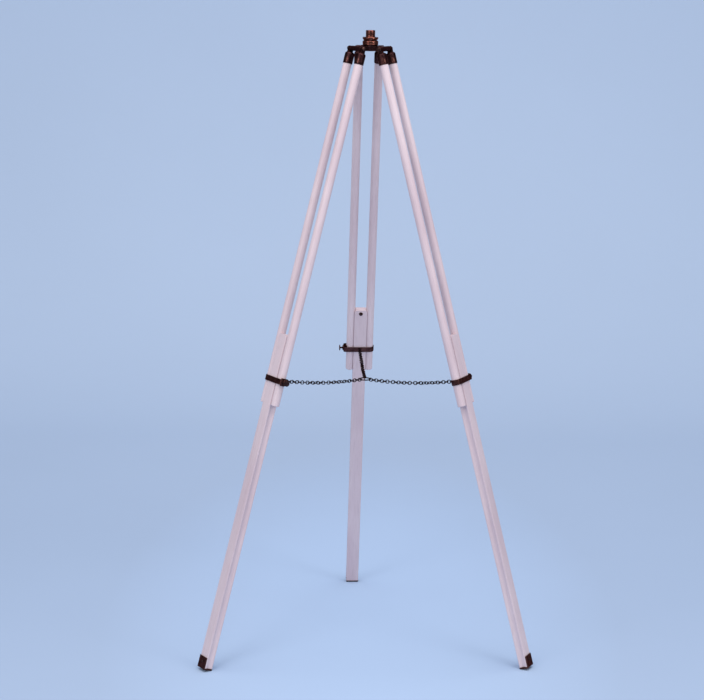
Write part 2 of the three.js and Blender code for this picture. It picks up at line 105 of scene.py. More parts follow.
# ---------------------------------------------------------------- parts as (verts, faces)
def moved(part, matrix):
    verts, faces = part
    m = np.array(matrix)
    return np.asarray(verts, float) @ m[:3, :3].T + m[:3, 3], faces


def outward(verts, faces):
    """Turn the faces so that the closed body has positive volume."""
    verts = np.asarray(verts, float)
    centre = verts.mean(0)
    volume = 0.0
    for face in faces:
        first = verts[face[0]] - centre
        for i in range(1, len(face) - 1):
            normal = np.cross(verts[face[i]] - centre, verts[face[i + 1]] - centre)
            volume += float(np.dot(first, normal))
    if volume < 0:
        faces = [tuple(face)[::-1] for face in faces]
    return verts, faces


def joined(*parts):
    all_verts, all_faces, count = [], [], 0
    for verts, faces in parts:
        all_verts.append(np.asarray(verts, float))
        all_faces += [tuple(i + count for i in face) for face in faces]
        count += len(verts)
    return np.concatenate(all_verts), all_faces


def bridge(faces, start_a, start_b, count):
    """Add the quads between two closed rings of vertices."""
    for k in range(count):
        nxt = (k + 1) % count
        faces.append((start_a + k, start_a + nxt, start_b + nxt, start_b + k))


# ---------------------------------------------------------------- outlines
def fillet(points, rounding=0.3, steps=4, closed=False):
    """Round the corners of a polyline; a point's third value overrides the rounding."""
    out = []
    count = len(points)
    for i, point in enumerate(points):
        radius = point[2] if len(point) > 2 else rounding
        corner = np.array(point[:2], float)
        if (not closed and i in (0, count - 1)) or radius <= 0:
            out.append(tuple(corner))
            continue
        back = np.array(points[i - 1][:2], float) - corner
        ahead = np.array(points[(i + 1) % count][:2], float) - corner
        back_len, ahead_len = np.linalg.norm(back), np.linalg.norm(ahead)
        if back_len < 1e-9 or ahead_len < 1e-9:
            continue
        back, ahead = back / back_len, ahead / ahead_len
        half = math.acos(max(-1, min(1, float(back @ ahead)))) / 2
        if half > math.radians(87):     # almost straight
            out.append(tuple(corner))
            continue
        trim = min(radius / math.tan(half), 0.45 * back_len, 0.45 * ahead_len)
        start, end = corner + back * trim, corner + ahead * trim
        for k in range(steps + 1):
            t = k / steps
            out.append(tuple((1 - t) ** 2 * start + 2 * t * (1 - t) * corner + t * t * end))
    return out


def arc(centre_x, centre_y, radius, start, span, steps):
    """Points [x, y, normal x, normal y] along an arc."""
    points = []
    for k in range(steps + 1):
        a = start + span * k / steps
        nx, ny = math.cos(a), math.sin(a)
        points.append((centre_x + radius * nx, centre_y + radius * ny, nx, ny))
    return points


def circle(radius, steps):
    return arc(0.0, 0.0, radius, 0.0, 2 * math.pi, steps)[:-1]


def cradle(radius, start, span, steps):
    """Points [x, y] on an arc round the +Y dowel's axis, angles measured from +Y."""
    angles = [start + span * k / steps for k in range(steps + 1)]
    return [(radius * math.sin(a), DOWEL_Y + radius * math.cos(a)) for a in angles]


def rectangle(half_x, y0, y1):
    return [(-half_x, y0), (half_x, y0), (half_x, y1), (-half_x, y1)]


# ---------------------------------------------------------------- solids
def lathe(profile, segments=64, closed=False, modulate=None):
    """Turned body about +Z from [radius, z] points; it closes where the radius is 0."""
    verts, rings = [], []
    for radius, z in profile:
        if radius < 1e-6:
            rings.append([len(verts)])
            verts.append((0.0, 0.0, z))
            continue
        ring = []
        for k in range(segments):
            a = 2 * math.pi * k / segments
            r = radius if modulate is None else modulate(radius, z, a)
            ring.append(len(verts))
            verts.append((r * math.cos(a), r * math.sin(a), z))
        rings.append(ring)
    faces = []
    pairs = list(zip(rings, rings[1:])) + ([(rings[-1], rings[0])] if closed else [])
    for low, high in pairs:
        if len(low) == 1 and len(high) == 1:
            continue
        for k in range(segments):
            j = (k + 1) % segments
            if len(low) == 1:
                faces.append((low[0], high[j], high[k]))
            elif len(high) == 1:
                faces.append((low[k], low[j], high[0]))
            else:
                faces.append((low[k], low[j], high[j], high[k]))
    return outward(verts, faces)


def turned(stations, rounding=0.3, segments=64, steps=4, modulate=None):
    """Solid turned body from stations of [radius, z] or [radius, z, corner rounding]."""
    points = [tuple(p) for p in stations]
    if points[0][0] > 0:
        points = [(0.0, points[0][1])] + points
    if points[-1][0] > 0:
        points = points + [(0.0, points[-1][1])]
    return lathe(fillet(points, rounding, steps), segments, modulate=modulate)


def cylinder(radius, z0, z1, segments):
    return turned([(radius, z0), (radius, z1)], rounding=0, segments=segments)


def sweep_loop(path, section):
    """Sweep a closed section of [along normal, z] round a flat closed path from arc()."""
    verts, faces = [], []
    size = len(section)
    for x, y, nx, ny in path:
        verts += [(x + nx * point[0], y + ny * point[0], point[1]) for point in section]
    for i in range(len(path)):
        bridge_to = (i + 1) % len(path)
        for k in range(size):
            j = (k + 1) % size
            faces.append((i * size + k, i * size + j, bridge_to * size + j, bridge_to * size + k))
    return outward(verts, faces)


def torus(major, minor, segments, sides):
    return sweep_loop(circle(major, segments), circle(minor, sides))


def oval_link(length, width, wire, arc_steps, sides):
    """Wire link in the XY plane, long axis on X; length and width are over the wire."""
    half = (length - width) / 2
    radius = width / 2 - wire / 2
    path = arc(half, 0.0, radius, -math.pi / 2, math.pi, arc_steps)
    path += arc(-half, 0.0, radius, math.pi / 2, math.pi, arc_steps)
    return sweep_loop(path, circle(wire / 2, sides))


def prism(outline, z0, z1, edge, steps, rows=()):
    """Extrude a closed outline along +Z, end edges rounded, with extra rows at given heights."""
    here = np.array(outline, float)
    before, after = np.roll(here, 1, 0), np.roll(here, -1, 0)
    normal = np.zeros_like(here)
    for side in (here - before, after - here):
        side_normal = np.stack([side[:, 1], -side[:, 0]], 1)
        side_normal /= np.linalg.norm(side_normal, axis=1)[:, None] + 1e-12
        normal += side_normal
    normal /= np.linalg.norm(normal, axis=1)[:, None] + 1e-12
    if 0.5 * np.sum(here[:, 0] * after[:, 1] - after[:, 0] * here[:, 1]) < 0:
        normal = -normal
    levels = []     # [z, inset]
    for k in range(steps + 1):
        t = math.pi / 2 * k / steps
        levels.append((z0 + edge * (1 - math.sin(t)), edge * (1 - math.cos(t))))
    levels += [(z, 0.0) for z in rows]
    for k in range(steps + 1):
        t = math.pi / 2 * (1 - k / steps)
        levels.append((z1 - edge * (1 - math.sin(t)), edge * (1 - math.cos(t))))
    verts, faces = [], []
    count = len(here)
    for z, inset in levels:
        verts += [(x, y, z) for x, y in here - normal * inset]
    last = (len(levels) - 1) * count
    for start in range(0, last, count):
        bridge(faces, start, start + count, count)
    faces.append(tuple(range(count))[::-1])
    faces.append(tuple(last + k for k in range(count)))
    return outward(verts, faces)


def threaded(radius, depth, pitch, z0, z1, segments=32):
    """Screw thread about +Z, both ends closed with a short chamfer."""
    rows = max(4, int(round((z1 - z0) / pitch * 8)))
    verts, faces = [], []
    for i in range(rows + 1):
        z = z0 + (z1 - z0) * i / rows
        lead = min(1.0, (z - z0) / 0.5 + 0.05, (z1 - z) / 0.5 + 0.05)
        for k in range(segments):
            a = 2 * math.pi * k / segments
            phase = ((z / pitch) - k / segments) % 1.0
            crest = min(1.0, max(0.0, 1.35 * abs(2 * phase - 1) - 0.1))
            r = radius - depth * (1 - crest) - depth * 0.8 * (1 - lead)
            verts.append((r * math.cos(a), r * math.sin(a), z))
    for i in range(rows):
        bridge(faces, i * segments, (i + 1) * segments, segments)
    low, high = len(verts), len(verts) + 1
    verts += [(0, 0, z0 - 0.05), (0, 0, z1 + 0.05)]
    for k in range(segments):
        j = (k + 1) % segments
        faces.append((low, j, k))
        faces.append((high, rows * segments + k, rows * segments + j))
    return outward(verts, faces)


# ---------------------------------------------------------------- meshes and objects
def to_mesh(name, part, scale=MM):
    verts, faces = part
    mesh = bpy.data.meshes.new(name)
    mesh.from_pydata([tuple(p) for p in (np.asarray(verts) * scale)], [],
                     [tuple(face) for face in faces])
    bm = bmesh.new()
    bm.from_mesh(mesh)
    bmesh.ops.remove_doubles(bm, verts=bm.verts, dist=1e-7)
    bm.to_mesh(mesh)
    bm.free()
    mesh.validate()
    return mesh


def add_object(name, data):
    obj = bpy.data.objects.new(name, data)
    bpy.context.scene.collection.objects.link(obj)
    return obj


def solve(name, mesh, modifiers):
    """New mesh with (type, settings) modifiers applied; a mesh setting becomes an object."""
    work = add_object("work", mesh)
    helpers = [work]
    for kind, settings in modifiers:
        modifier = work.modifiers.new(kind, kind)
        for key, value in settings.items():
            if isinstance(value, bpy.types.Mesh):
                value = add_object("operand", value)
                helpers.append(value)
            setattr(modifier, key, value)
    bpy.context.view_layer.update()
    depsgraph = bpy.context.evaluated_depsgraph_get()
    out = bpy.data.meshes.new_from_object(work.evaluated_get(depsgraph))
    for helper in helpers:
        bpy.data.objects.remove(helper)
    out.name = name
    return out


def boolean(operation, part):
    return ("BOOLEAN", {"operation": operation, "solver": "MANIFOLD",
                        "object": to_mesh("operand", part)})


def union(part):
    return boolean("UNION", part)


def cut(part):
    return boolean("DIFFERENCE", part)


def bevel(width, above_angle):
    return ("BEVEL", {"width": width * MM, "segments": 2, "limit_method": "ANGLE",
                      "angle_limit": math.radians(above_angle)})


def cast(name, mesh, voxel, smoothing):
    """Even, softly filleted skin over a solid."""
    return solve(name, mesh, [
        ("REMESH", {"mode": "VOXEL", "voxel_size": voxel * MM, "adaptivity": 0.0}),
        ("SMOOTH", {"factor": 0.5, "iterations": smoothing}),
    ])


def slotted(name, part, width, depth, top):
    """Screw with a straight driver slot across the top of its head."""
    slot = prism(rectangle(8, -width / 2, width / 2), top - depth, top + 3, edge=0.02, steps=1)
    return solve(name, to_mesh(name, part), [cut(slot), bevel(0.07, above_angle=50)])


def hex_nut(name, across_flats, z0, z1, bore):
    radius = across_flats / math.sqrt(3)
    angles = [math.radians(60 * k + 30) for k in range(6)]
    hexagon = fillet([(radius * math.cos(a), radius * math.sin(a)) for a in angles],
                     rounding=0.35, steps=3, closed=True)
    flat, rise = across_flats / 2 - 0.1, 0.14 * across_flats
    corner_cone = turned([(flat, z0), (radius, z0 + rise), (radius, z1 - rise), (flat, z1)],
                         rounding=0, segments=72)
    return solve(name, to_mesh(name, prism(hexagon, z0, z1, edge=0.05, steps=1)), [
        boolean("INTERSECT", corner_cone),
        cut(cylinder(bore, z0 - 5, z1 + 5, 48)),
        bevel(0.12, above_angle=28),
    ])


finished = set()


def place(name, mesh, material, matrix, body, replaced, sharp=40.0):
    """Put a finished piece in place, riding on its body, instead of a CAD piece.

    Edges steeper than `sharp` degrees shade hard; None keeps all edges soft.
    """
    if mesh.name not in finished:
        finished.add(mesh.name)
        for polygon in mesh.polygons:
            polygon.use_smooth = True
        if sharp is not None:
            mesh.set_sharp_from_angle(angle=math.radians(sharp))
        mesh.materials.clear()
        mesh.materials.append(material)
        mesh.polygons.foreach_set("material_index", [0] * len(mesh.polygons))
    obj = add_object(name, mesh)
    obj.matrix_world = matrix
    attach(obj, body)
    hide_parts(replaced)


# ---------------------------------------------------------------- shader building
def add_node(tree, kind, inputs=None, **settings):
    """New node; each input, by name or index, takes a value or another node's output."""
    node = tree.nodes.new(kind)
    for key, value in settings.items():
        setattr(node, key, value)
    for key, value in (inputs or {}).items():
        socket = node.inputs[key]
        if isinstance(value, bpy.types.NodeSocket):
            tree.links.new(value, socket)
        elif socket.type == "RGBA":
            socket.default_value = (*value, 1.0)
        else:
            socket.default_value = value
    return node


class Shader:
    """Principled material; the methods add a node and return its output."""

    def __init__(self, name):
        self.material = bpy.data.materials.new(name)
        self.material.use_nodes = True
        self.tree = self.material.node_tree
        self.tree.nodes.clear()
        self.output = self.add("ShaderNodeOutputMaterial")
        self.bsdf = self.add("ShaderNodeBsdfPrincipled")
        self.tree.links.new(self.bsdf.outputs["BSDF"], self.output.inputs["Surface"])
        self.coord = self.add("ShaderNodeTexCoord")

    def add(self, kind, inputs=None, **settings):
        return add_node(self.tree, kind, inputs, **settings)

    def mapped(self, scale=(1, 1, 1), location=(0, 0, 0)):
        return self.add("ShaderNodeMapping", {
            "Scale": scale, "Location": location, "Vector": self.coord.outputs["Object"],
        }).outputs["Vector"]

    def noise(self, vector, scale, detail, roughness=0.55, distortion=0.0):
        return self.add("ShaderNodeTexNoise", {
            "Scale": scale, "Detail": detail, "Roughness": roughness,
            "Distortion": distortion, "Vector": vector,
        }).outputs[0]

    def ramp(self, value, stops):
        """Stops are (position, grey or colour)."""
        node = self.add("ShaderNodeValToRGB", {"Fac": value})
        elements = node.color_ramp.elements
        while len(elements) > 1:
            elements.remove(elements[-1])
        for i, (position, colour) in enumerate(stops):
            element = elements.new(position) if i else elements[0]
            element.position = position
            if isinstance(colour, float):
                colour = (colour, colour, colour)
            element.color = (*colour, 1.0)
        return node.outputs[0]

    def mix(self, factor, first, second, mode="MIX"):
        return self.add("ShaderNodeMix", {0: factor, 6: first, 7: second},
                        data_type="RGBA", blend_type=mode).outputs[2]

    def math(self, operation, *values, clamp=False):
        return self.add("ShaderNodeMath", dict(enumerate(values)),
                        operation=operation, use_clamp=clamp).outputs[0]

    def edges(self, radius, worn_below, flat_above):
        """1 on outside edges and corners, 0 on flat faces; limits are normal dot products."""
        rounded = self.add("ShaderNodeBevel", {"Radius": radius}, samples=6)
        geometry = self.add("ShaderNodeNewGeometry")
        dot = self.add("ShaderNodeVectorMath", {
            0: rounded.outputs["Normal"], 1: geometry.outputs["Normal"],
        }, operation="DOT_PRODUCT")
        return self.add("ShaderNodeMapRange", {
            "From Min": flat_above, "From Max": worn_below, "Value": dot.outputs["Value"],
        }).outputs[0]

    def bump(self, height, strength, distance, normal=None):
        inputs = {"Strength": strength, "Distance": distance, "Height": height}
        if normal is not None:
            inputs["Normal"] = normal
        return self.add("ShaderNodeBump", inputs).outputs[0]

    def plug(self, output, name):
        self.tree.links.new(output, self.bsdf.inputs[name])

    def set(self, name, value):
        self.bsdf.inputs[name].default_value = value


# ---------------------------------------------------------------- materials
PAINT_LIGHT, PAINT_DARK = (0.735, 0.605, 0.630), (0.640, 0.505, 0.540)
PAINT_STREAK = (0.47, 0.355, 0.37)
BARE_WOOD = (0.42, 0.33, 0.29)


def painted_wood(name, seed):
    """Satin paint brushed over straight-grained wood; grain runs along the piece's own Z."""
    shader = Shader(name)
    shift = (seed * 0.37, seed * 0.11, seed * 0.73)
    grain_map = shader.mapped((1, 1, 0.035), shift)
    brush_map = shader.mapped((1, 1, 0.012), shift)
    even_map = shader.mapped((1, 1, 1), shift)
    grain = shader.noise(grain_map, scale=620.0, detail=5.0, roughness=0.62, distortion=0.25)
    brush = shader.noise(brush_map, scale=1500.0, detail=2.0, roughness=0.5)
    cloud = shader.noise(shader.mapped((1, 1, 0.35), shift), scale=14.0, detail=3.0)
    fleck = shader.noise(even_map, scale=420.0, detail=3.0, roughness=0.6)

    # paint tone, darker streaks in the grain, and wood showing in flecks along the edges
    tone = shader.ramp(cloud, [(0.32, PAINT_DARK), (0.68, PAINT_LIGHT)])
    clear_of_streak = shader.ramp(grain, [(0.36, 0.0), (0.47, 1.0)])
    streak = shader.math("MULTIPLY", shader.math("SUBTRACT", 1.0, clear_of_streak), 0.30)
    colour = shader.mix(streak, tone, PAINT_STREAK)
    edge = shader.edges(radius=0.0011, worn_below=0.80, flat_above=0.985)
    worn = shader.math("MULTIPLY", edge, shader.ramp(fleck, [(0.47, 0.0), (0.60, 1.0)]))
    colour = shader.mix(shader.math("MULTIPLY", worn, 0.55), colour, BARE_WOOD)
    shader.plug(colour, "Base Color")

    satin = shader.ramp(grain, [(0.3, 0.56), (0.7, 0.42)])
    roughness = shader.math("ADD", satin, shader.math("MULTIPLY", worn, 0.25))
    shader.plug(roughness, "Roughness")
    shader.set("Specular IOR Level", 0.42)
    relief = shader.bump(grain, strength=0.35, distance=0.00022)
    relief = shader.bump(brush, strength=0.22, distance=0.00008, normal=relief)
    relief = shader.bump(shader.math("MULTIPLY", worn, -1.0),
                         strength=0.5, distance=0.00010, normal=relief)
    shader.plug(relief, "Normal")
    return shader.material


def aged_metal(name, colours, seed, roughness, cast_bump, cast_scale, wear=0.75, line_scale=None):
    """Patinated metal, dark in the flats and rubbed bright along the edges.

    colours: dark, mid and bright. roughness: where bright, where dark. cast_bump, cast_scale:
    strength and fineness of the surface grain. wear: how far edges turn bright.
    line_scale: fineness of turning lines round Z, or None for none.
    """
    dark, mid, bright = colours
    shader = Shader(name)
    even_map = shader.mapped((1, 1, 1), (seed, seed * 0.7, seed * 0.3))
    patch = shader.noise(even_map, scale=95.0, detail=5.0, roughness=0.6, distortion=0.4)
    fine = shader.noise(even_map, scale=cast_scale, detail=4.0, roughness=0.6)
    rub = shader.noise(even_map, scale=300.0, detail=4.0, roughness=0.65)

    light = tuple(0.55 * a + 0.45 * b for a, b in zip(mid, bright))
    base = shader.ramp(patch, [(0.30, dark), (0.56, mid), (0.78, light)])
    edge = shader.edges(radius=0.0009, worn_below=0.78, flat_above=0.985)
    rubbed = shader.math("MULTIPLY", edge, shader.ramp(rub, [(0.36, 0.15), (0.58, 1.0)]))
    colour = shader.mix(shader.math("MULTIPLY", rubbed, wear), base, bright)
    # painted shade: ambient occlusion darkens the colour in recesses and between parts
    occlusion = shader.add("ShaderNodeAmbientOcclusion", {"Distance": 0.004}, samples=4)
    painted_recess_shade = shader.ramp(occlusion.outputs["AO"], [(0.35, 0.35), (0.9, 1.0)])
    shader.plug(shader.mix(1.0, colour, painted_recess_shade, "MULTIPLY"), "Base Color")

    shader.set("Metallic", 0.95)
    shader.set("Specular Tint", (0.55, 0.38, 0.36, 1.0))
    patina = shader.ramp(patch, [(0.3, roughness[1]), (0.7, roughness[0])])
    polish = shader.math("MULTIPLY", rubbed, 0.10)
    shader.plug(shader.math("SUBTRACT", patina, polish, clamp=True), "Roughness")
    relief = shader.bump(fine, strength=cast_bump, distance=0.00016)
    if line_scale:
        wave = shader.add("ShaderNodeTexWave", {
            "Scale": line_scale, "Distortion": 0.35, "Detail": 2.0, "Vector": even_map,
        }, wave_type="BANDS", bands_direction="Z", wave_profile="SIN")
        relief = shader.bump(wave.outputs["Fac"], strength=0.16, distance=0.00006, normal=relief)
    shader.plug(relief, "Normal")
    return shader.material


# dark, mid and bright colours of each metal
RUBBED_BRONZE = (0.34, 0.150, 0.110)
BRONZE = ((0.024, 0.0105, 0.0120), (0.062, 0.0255, 0.0265), RUBBED_BRONZE)
SHEET = ((0.042, 0.0175, 0.0175), (0.100, 0.040, 0.037), RUBBED_BRONZE)
WIRE = ((0.012, 0.0080, 0.0100), (0.028, 0.0165, 0.0185), (0.12, 0.064, 0.056))
COPPER = ((0.090, 0.029, 0.025), (0.260, 0.092, 0.069), (0.62, 0.315, 0.235))
SCREW = ((0.030, 0.016, 0.016), (0.076, 0.038, 0.036), (0.34, 0.20, 0.15))

dowel_wood = {n: painted_wood(f"painted_wood_{n}", seed=1.0 + n) for n in LEGS}
slat_wood = {n: painted_wood(f"painted_slat_{n}", seed=7.3 + 2 * n) for n in LEGS}
bronze_cast = aged_metal("bronze_cast", BRONZE, seed=0.0, roughness=(0.34, 0.55),
                         cast_bump=0.45, cast_scale=800.0)
bronze_turned = aged_metal("bronze_turned", BRONZE, seed=1.3, roughness=(0.26, 0.46),
                           cast_bump=0.12, cast_scale=1500.0, line_scale=900.0)
bronze_sheet = aged_metal("bronze_sheet", SHEET, seed=2.1, roughness=(0.30, 0.50),
                          cast_bump=0.22, cast_scale=1000.0)
bronze_wire = aged_metal("bronze_wire", WIRE, seed=3.7, roughness=(0.30, 0.46),
                         cast_bump=0.15, cast_scale=1600.0, wear=0.4)
copper = aged_metal("copper_turned", COPPER, seed=5.1, roughness=(0.14, 0.30),
                    cast_bump=0.08, cast_scale=1500.0, wear=0.7, line_scale=950.0)
screw_metal = aged_metal("screw_metal", SCREW, seed=6.4, roughness=(0.26, 0.44),
                         cast_bump=0.10, cast_scale=1600.0, wear=0.8)

# ---------------------------------------------------------------- head
# profiles: radius, z, corner rounding
SPIGOT = [
    (14.8, -22.4, 0.15), (15.1, -21.2, 0.4), (17.3, -18.5, 0.6), (17.3, -15.5, 0.7),
    (16.8, -15.0, 0.5), (11.6, -15.0, 0.2), (11.2, -14.5, 0.25), (10.25, -14.0, 0.5),
    (10.25, -10.9, 0.1), (9.95, -10.65, 0.1), (9.95, -10.15, 0.1), (10.25, -9.9, 0.1),
    (10.25, -1.0, 0.6), (9.4, 0.0, 0.5),
]
COLLAR = [
    (6.3, -32.4, 0.1), (16.3, -32.4, 0.7), (17.4, -31.3, 0.6), (17.4, -29.7, 0.15),
    (17.15, -29.4, 0.1), (17.15, -28.8, 0.1), (17.4, -28.5, 0.15), (17.4, -24.0, 0.8),
    (15.8, -22.7, 0.6), (6.3, -22.7, 0.1),
]
STUD_END = -44.8        # lower end of the spigot's thread and of its nut

spigot = joined(turned(SPIGOT, segments=96, steps=5),
                threaded(6.0, depth=0.45, pitch=1.25, z0=STUD_END, z1=-22.3, segments=40))
place("spigot", to_mesh("spigot", spigot), copper, IDENTITY, "head", "mount_spigot",
      sharp=38)
collar = lathe(fillet(COLLAR, steps=5, closed=True), 96, closed=True)
place("collar", to_mesh("collar", collar), copper, IDENTITY, "head", "lock_collar",
      sharp=38)


def arm_outline():
    """Hub arm along +X, flaring in a curve and ending 0.6 short of the hinge axis."""
    root_half, flare = 11.8, 5.0
    points = [(-2, -root_half)]
    for k in range(13):
        t = k / 12
        points.append((12 + (HINGE_R - 12.6) * t, -(root_half + flare * t ** 2.2)))
    return points + [(x, -y) for x, y in points[::-1]]


def hub():
    """Round centre with three arms, each ending in a bored hinge barrel."""
    # radius, z
    centre = turned([
        (14.9, HINGE_Z - 5.7), (15.7, HINGE_Z - 4.9), (15.7, -35.2), (15.9, -34.6),
        (17.0, -33.4), (16.4, -32.7),
    ], segments=96, steps=3)
    barrel = turned([(5.1, -19.6), (5.7, -19.0), (5.7, 19.0), (5.1, 19.6)],
                    rounding=0.25, segments=48, steps=3)
    arm = prism(arm_outline(), HINGE_Z - 5.2, HINGE_Z + 5.2, edge=0.9, steps=3)
    hinges = {n: azimuth(n) @ offset(HINGE_R, 0, HINGE_Z) @ ALONG_Y for n in LEGS}
    steps = []
    for n in LEGS:
        steps += [union(moved(arm, azimuth(n))), union(moved(barrel, hinges[n]))]
    steps += [cut(moved(cylinder(3.2, -30, 30, 32), hinges[n])) for n in LEGS]
    steps.append(cut(cylinder(11.4, -60, -39.4, 64)))   # recess for the nut
    steps.append(cut(cylinder(6.3, -60, 0, 64)))        # hole for the spigot's thread
    return cast("hub", solve("hub_solid", to_mesh("hub_centre", centre), steps),
                voxel=0.45, smoothing=7)


place("hub", hub(), bronze_cast, IDENTITY, "head", "hub_casting", sharp=None)
place("spigot_nut_hex", hex_nut("spigot_nut", 19, STUD_END, -39.7, bore=6.05), screw_metal,
      IDENTITY, "head", "spigot_nut", sharp=30)


def hinge_bolt():
    """Bolt with a slotted domed head at +Z and a thread past the nut at -Z."""
    head_top = HINGE_END + 3.55
    # radius, z, corner rounding
    body = turned([
        (2.9, -HINGE_END - 3.7, 0), (2.9, HINGE_END, 0), (5.0, HINGE_END, 0.1),
        (5.05, HINGE_END + 0.6, 0.4), (4.9, HINGE_END + 1.7, 0.6), (4.0, HINGE_END + 2.8, 0.8),
        (2.2, HINGE_END + 3.4, 0.8), (0.0, head_top, 0),
    ], segments=56)
    thread = threaded(2.9, depth=0.38, pitch=0.8, z0=-HINGE_END - 4.7, z1=-HINGE_END - 3.4)
    return solve("hinge_bolt", slotted("bolt_body", body, width=1.1, depth=1.1, top=head_top),
                 [union(thread)])


bolt_mesh = hinge_bolt()
nut_mesh = hex_nut("hinge_nut", 9.6, -HINGE_END - 3.8, -HINGE_END, bore=2.92)
for n in LEGS:
    pin = azimuth(n) @ offset_mm(HINGE_R, 0, HINGE_Z) @ ALONG_Y
    place(f"hinge_bolt_{n}_body", bolt_mesh, screw_metal, pin, "head", f"hinge_bolt_{n}", 35)
    place(f"hinge_nut_{n}_hex", nut_mesh, screw_metal, pin, "head", f"hinge_nut_{n}", 30)


# ---------------------------------------------------------------- upper leg
def ferrule(name, side):
    """Turned cap over the dowel's top, with a flat lug shifted to the outer side."""
    # radius, z
    cap = turned([
        (10.7, -34.75), (10.7, -32.4), (10.45, -32.1), (10.45, -31.7), (10.7, -31.4),
        (10.7, -13.2), (9.6, -10.6), (6.2, -8.5),
    ], segments=80, steps=3)
    lug_r = 5.7
    lug_outline = [(-lug_r, -10.5)]
    lug_outline += [p[:2] for p in arc(0.0, 0.0, lug_r, math.pi, -math.pi, 24)]
    lug_outline += [(lug_r, -10.5), (7.6, -12.5), (-7.6, -12.5)]
    lug = prism(lug_outline, -LUG_HALF, LUG_HALF, edge=0.5, steps=3)
    solid = solve("ferrule_solid", to_mesh("cap", cap), [
        union(moved(lug, offset(0, side * LUG_SHIFT, 0) @ Z_TO_MINUS_Y)),
        cut(cylinder(9.0, -45, -14, 64)),
        cut(moved(cylinder(3.2, -14, 14, 32), ALONG_Y)),
    ])
    return cast(name, solid, voxel=0.42, smoothing=5)


def dowel():
    """Straight dowel, its lower edge rounded and its top turned down inside the ferrule."""
    edge = 1.3
    flat_r = DOWEL_R - edge
    profile = [(0.0, DOWEL_END), (flat_r, DOWEL_END)]
    for t in np.linspace(0.2, math.pi / 2, 5):
        profile.append((flat_r + edge * math.sin(t), DOWEL_END + edge * (1 - math.cos(t))))
    profile += [(DOWEL_R, z) for z in np.linspace(DOWEL_END + 3, -38.75, 52)]
    profile += [(DOWEL_R, -35.35), (9.4, -35.1), (8.7, -35.05), (8.7, -14.5), (8.0, -14.3),
                (0.0, -14.3)]
    return to_mesh("dowel", lathe(profile, 72))


def band_path():
    """Round the -Y dowel, along both sides and square across beyond the +Y dowel."""
    r, end_y, corner = 10.6, 38.3, 4.3
    corner_x, corner_y = r - corner, end_y - corner
    side_ys = np.linspace(-DOWEL_Y + 1.5, corner_y - 1.0, 18)
    path = arc(0.0, -DOWEL_Y, r, math.pi, math.pi, 32)
    path += [(r, y, 1.0, 0.0) for y in side_ys]
    path += arc(corner_x, corner_y, corner, 0.0, math.pi / 2, 8)
    path += [(x, end_y, 0.0, 1.0) for x in np.linspace(corner_x - 1.0, -corner_x + 1.0, 7)]
    path += arc(-corner_x, corner_y, corner, math.pi / 2, math.pi / 2, 8)
    path += [(-r, y, -1.0, 0.0) for y in np.linspace(corner_y - 1.0, -DOWEL_Y + 1.5, 18)]
    return path


def clamp_band():
    """Closed loop of flat strip with a screw boss on its +Y end."""
    strip = fillet(rectangle(0.8, -6.25, 6.25), rounding=0.45, closed=True)
    boss = turned([(5.8, 38.2, 0.1), (5.8, 40.5, 0.4), (5.1, 41.2, 0.3)], segments=56)
    loop = moved(sweep_loop(band_path(), strip), CLAMP_AT)
    return solve("clamp_band", to_mesh("band", loop), [
        union(moved(boss, CLAMP_ALONG_Y)),
        cut(moved(cylinder(2.5, 30, 50, 40), CLAMP_ALONG_Y)),
        cut(moved(cylinder(1.9, 5, 15, 28), CLAMP_INWARD)),
    ])


def chain_eye():
    """Wire ring on a short stem through the inward side of the band."""
    ring_at = offset(EYE_X, 0, CLAMP_Z) @ Z_TO_MINUS_Y
    # radius, z, corner rounding
    base = turned([(2.7, 11.5, 0.05), (2.7, 12.1, 0.3), (1.7, 12.9, 0.4), (1.2, 13.4, 0.2)],
                  segments=36)
    stem = turned([(1.6, 9.9, 0.05), (1.6, 11.6, 0)], segments=24, steps=2)
    return to_mesh("chain_eye", joined(
        moved(torus(3.2, 0.9, 40, 12), ring_at),
        moved(base, CLAMP_INWARD),
        moved(stem, CLAMP_INWARD),
    ))


def saddle():
    """Block hollowed to the +Y dowel, with a socket for the thumb screw's tip."""
    radius = 9.8
    half_angle = math.asin(6.0 / radius)
    # x, y, corner rounding
    outline = [(6.2, 30.2, 0.4), (6.2, 33.0, 0.5), (3.8, 35.6, 0.5),
               (-3.8, 35.6, 0.5), (-6.2, 33.0, 0.5), (-6.2, 30.2, 0.4)]
    outline += [(x, y, 0) for x, y in cradle(radius, -half_angle, 2 * half_angle, 12)]
    block = prism(fillet(outline, steps=3, closed=True), CLAMP_Z - 8.5, CLAMP_Z + 8.5,
                  edge=0.5, steps=3)
    return solve("saddle", to_mesh("saddle_block", block),
                 [cut(moved(cylinder(2.5, 33.8, 40, 40), CLAMP_ALONG_Y))])


def knurl(radius, z, angle):
    """Thirty shallow grooves round the middle of the thumb screw's rim."""
    if 47.0 < z < 48.4 and radius > 6.4:
        return radius - 0.16 * (0.5 - 0.5 * math.cos(30 * angle))
    return radius


def thumb_screw():
    # radius, z, corner rounding
    head = turned([
        (2.2, 46.4, 0), (3.4, 46.5, 0.2), (6.0, 46.5, 0.2), (6.75, 46.95, 0.2), (6.75, 47.3, 0),
        (6.75, 47.7, 0), (6.75, 48.1, 0), (6.75, 48.4, 0.2), (6.1, 48.8, 0.3), (3.2, 48.8, 0.2),
        (2.9, 49.1, 0.2), (0.0, 49.25, 0),
    ], segments=240, steps=3, modulate=knurl)
    thread = threaded(2.2, depth=0.36, pitch=0.7, z0=34.1, z1=46.6)
    return to_mesh("thumb_screw", moved(joined(thread, head), CLAMP_ALONG_Y))


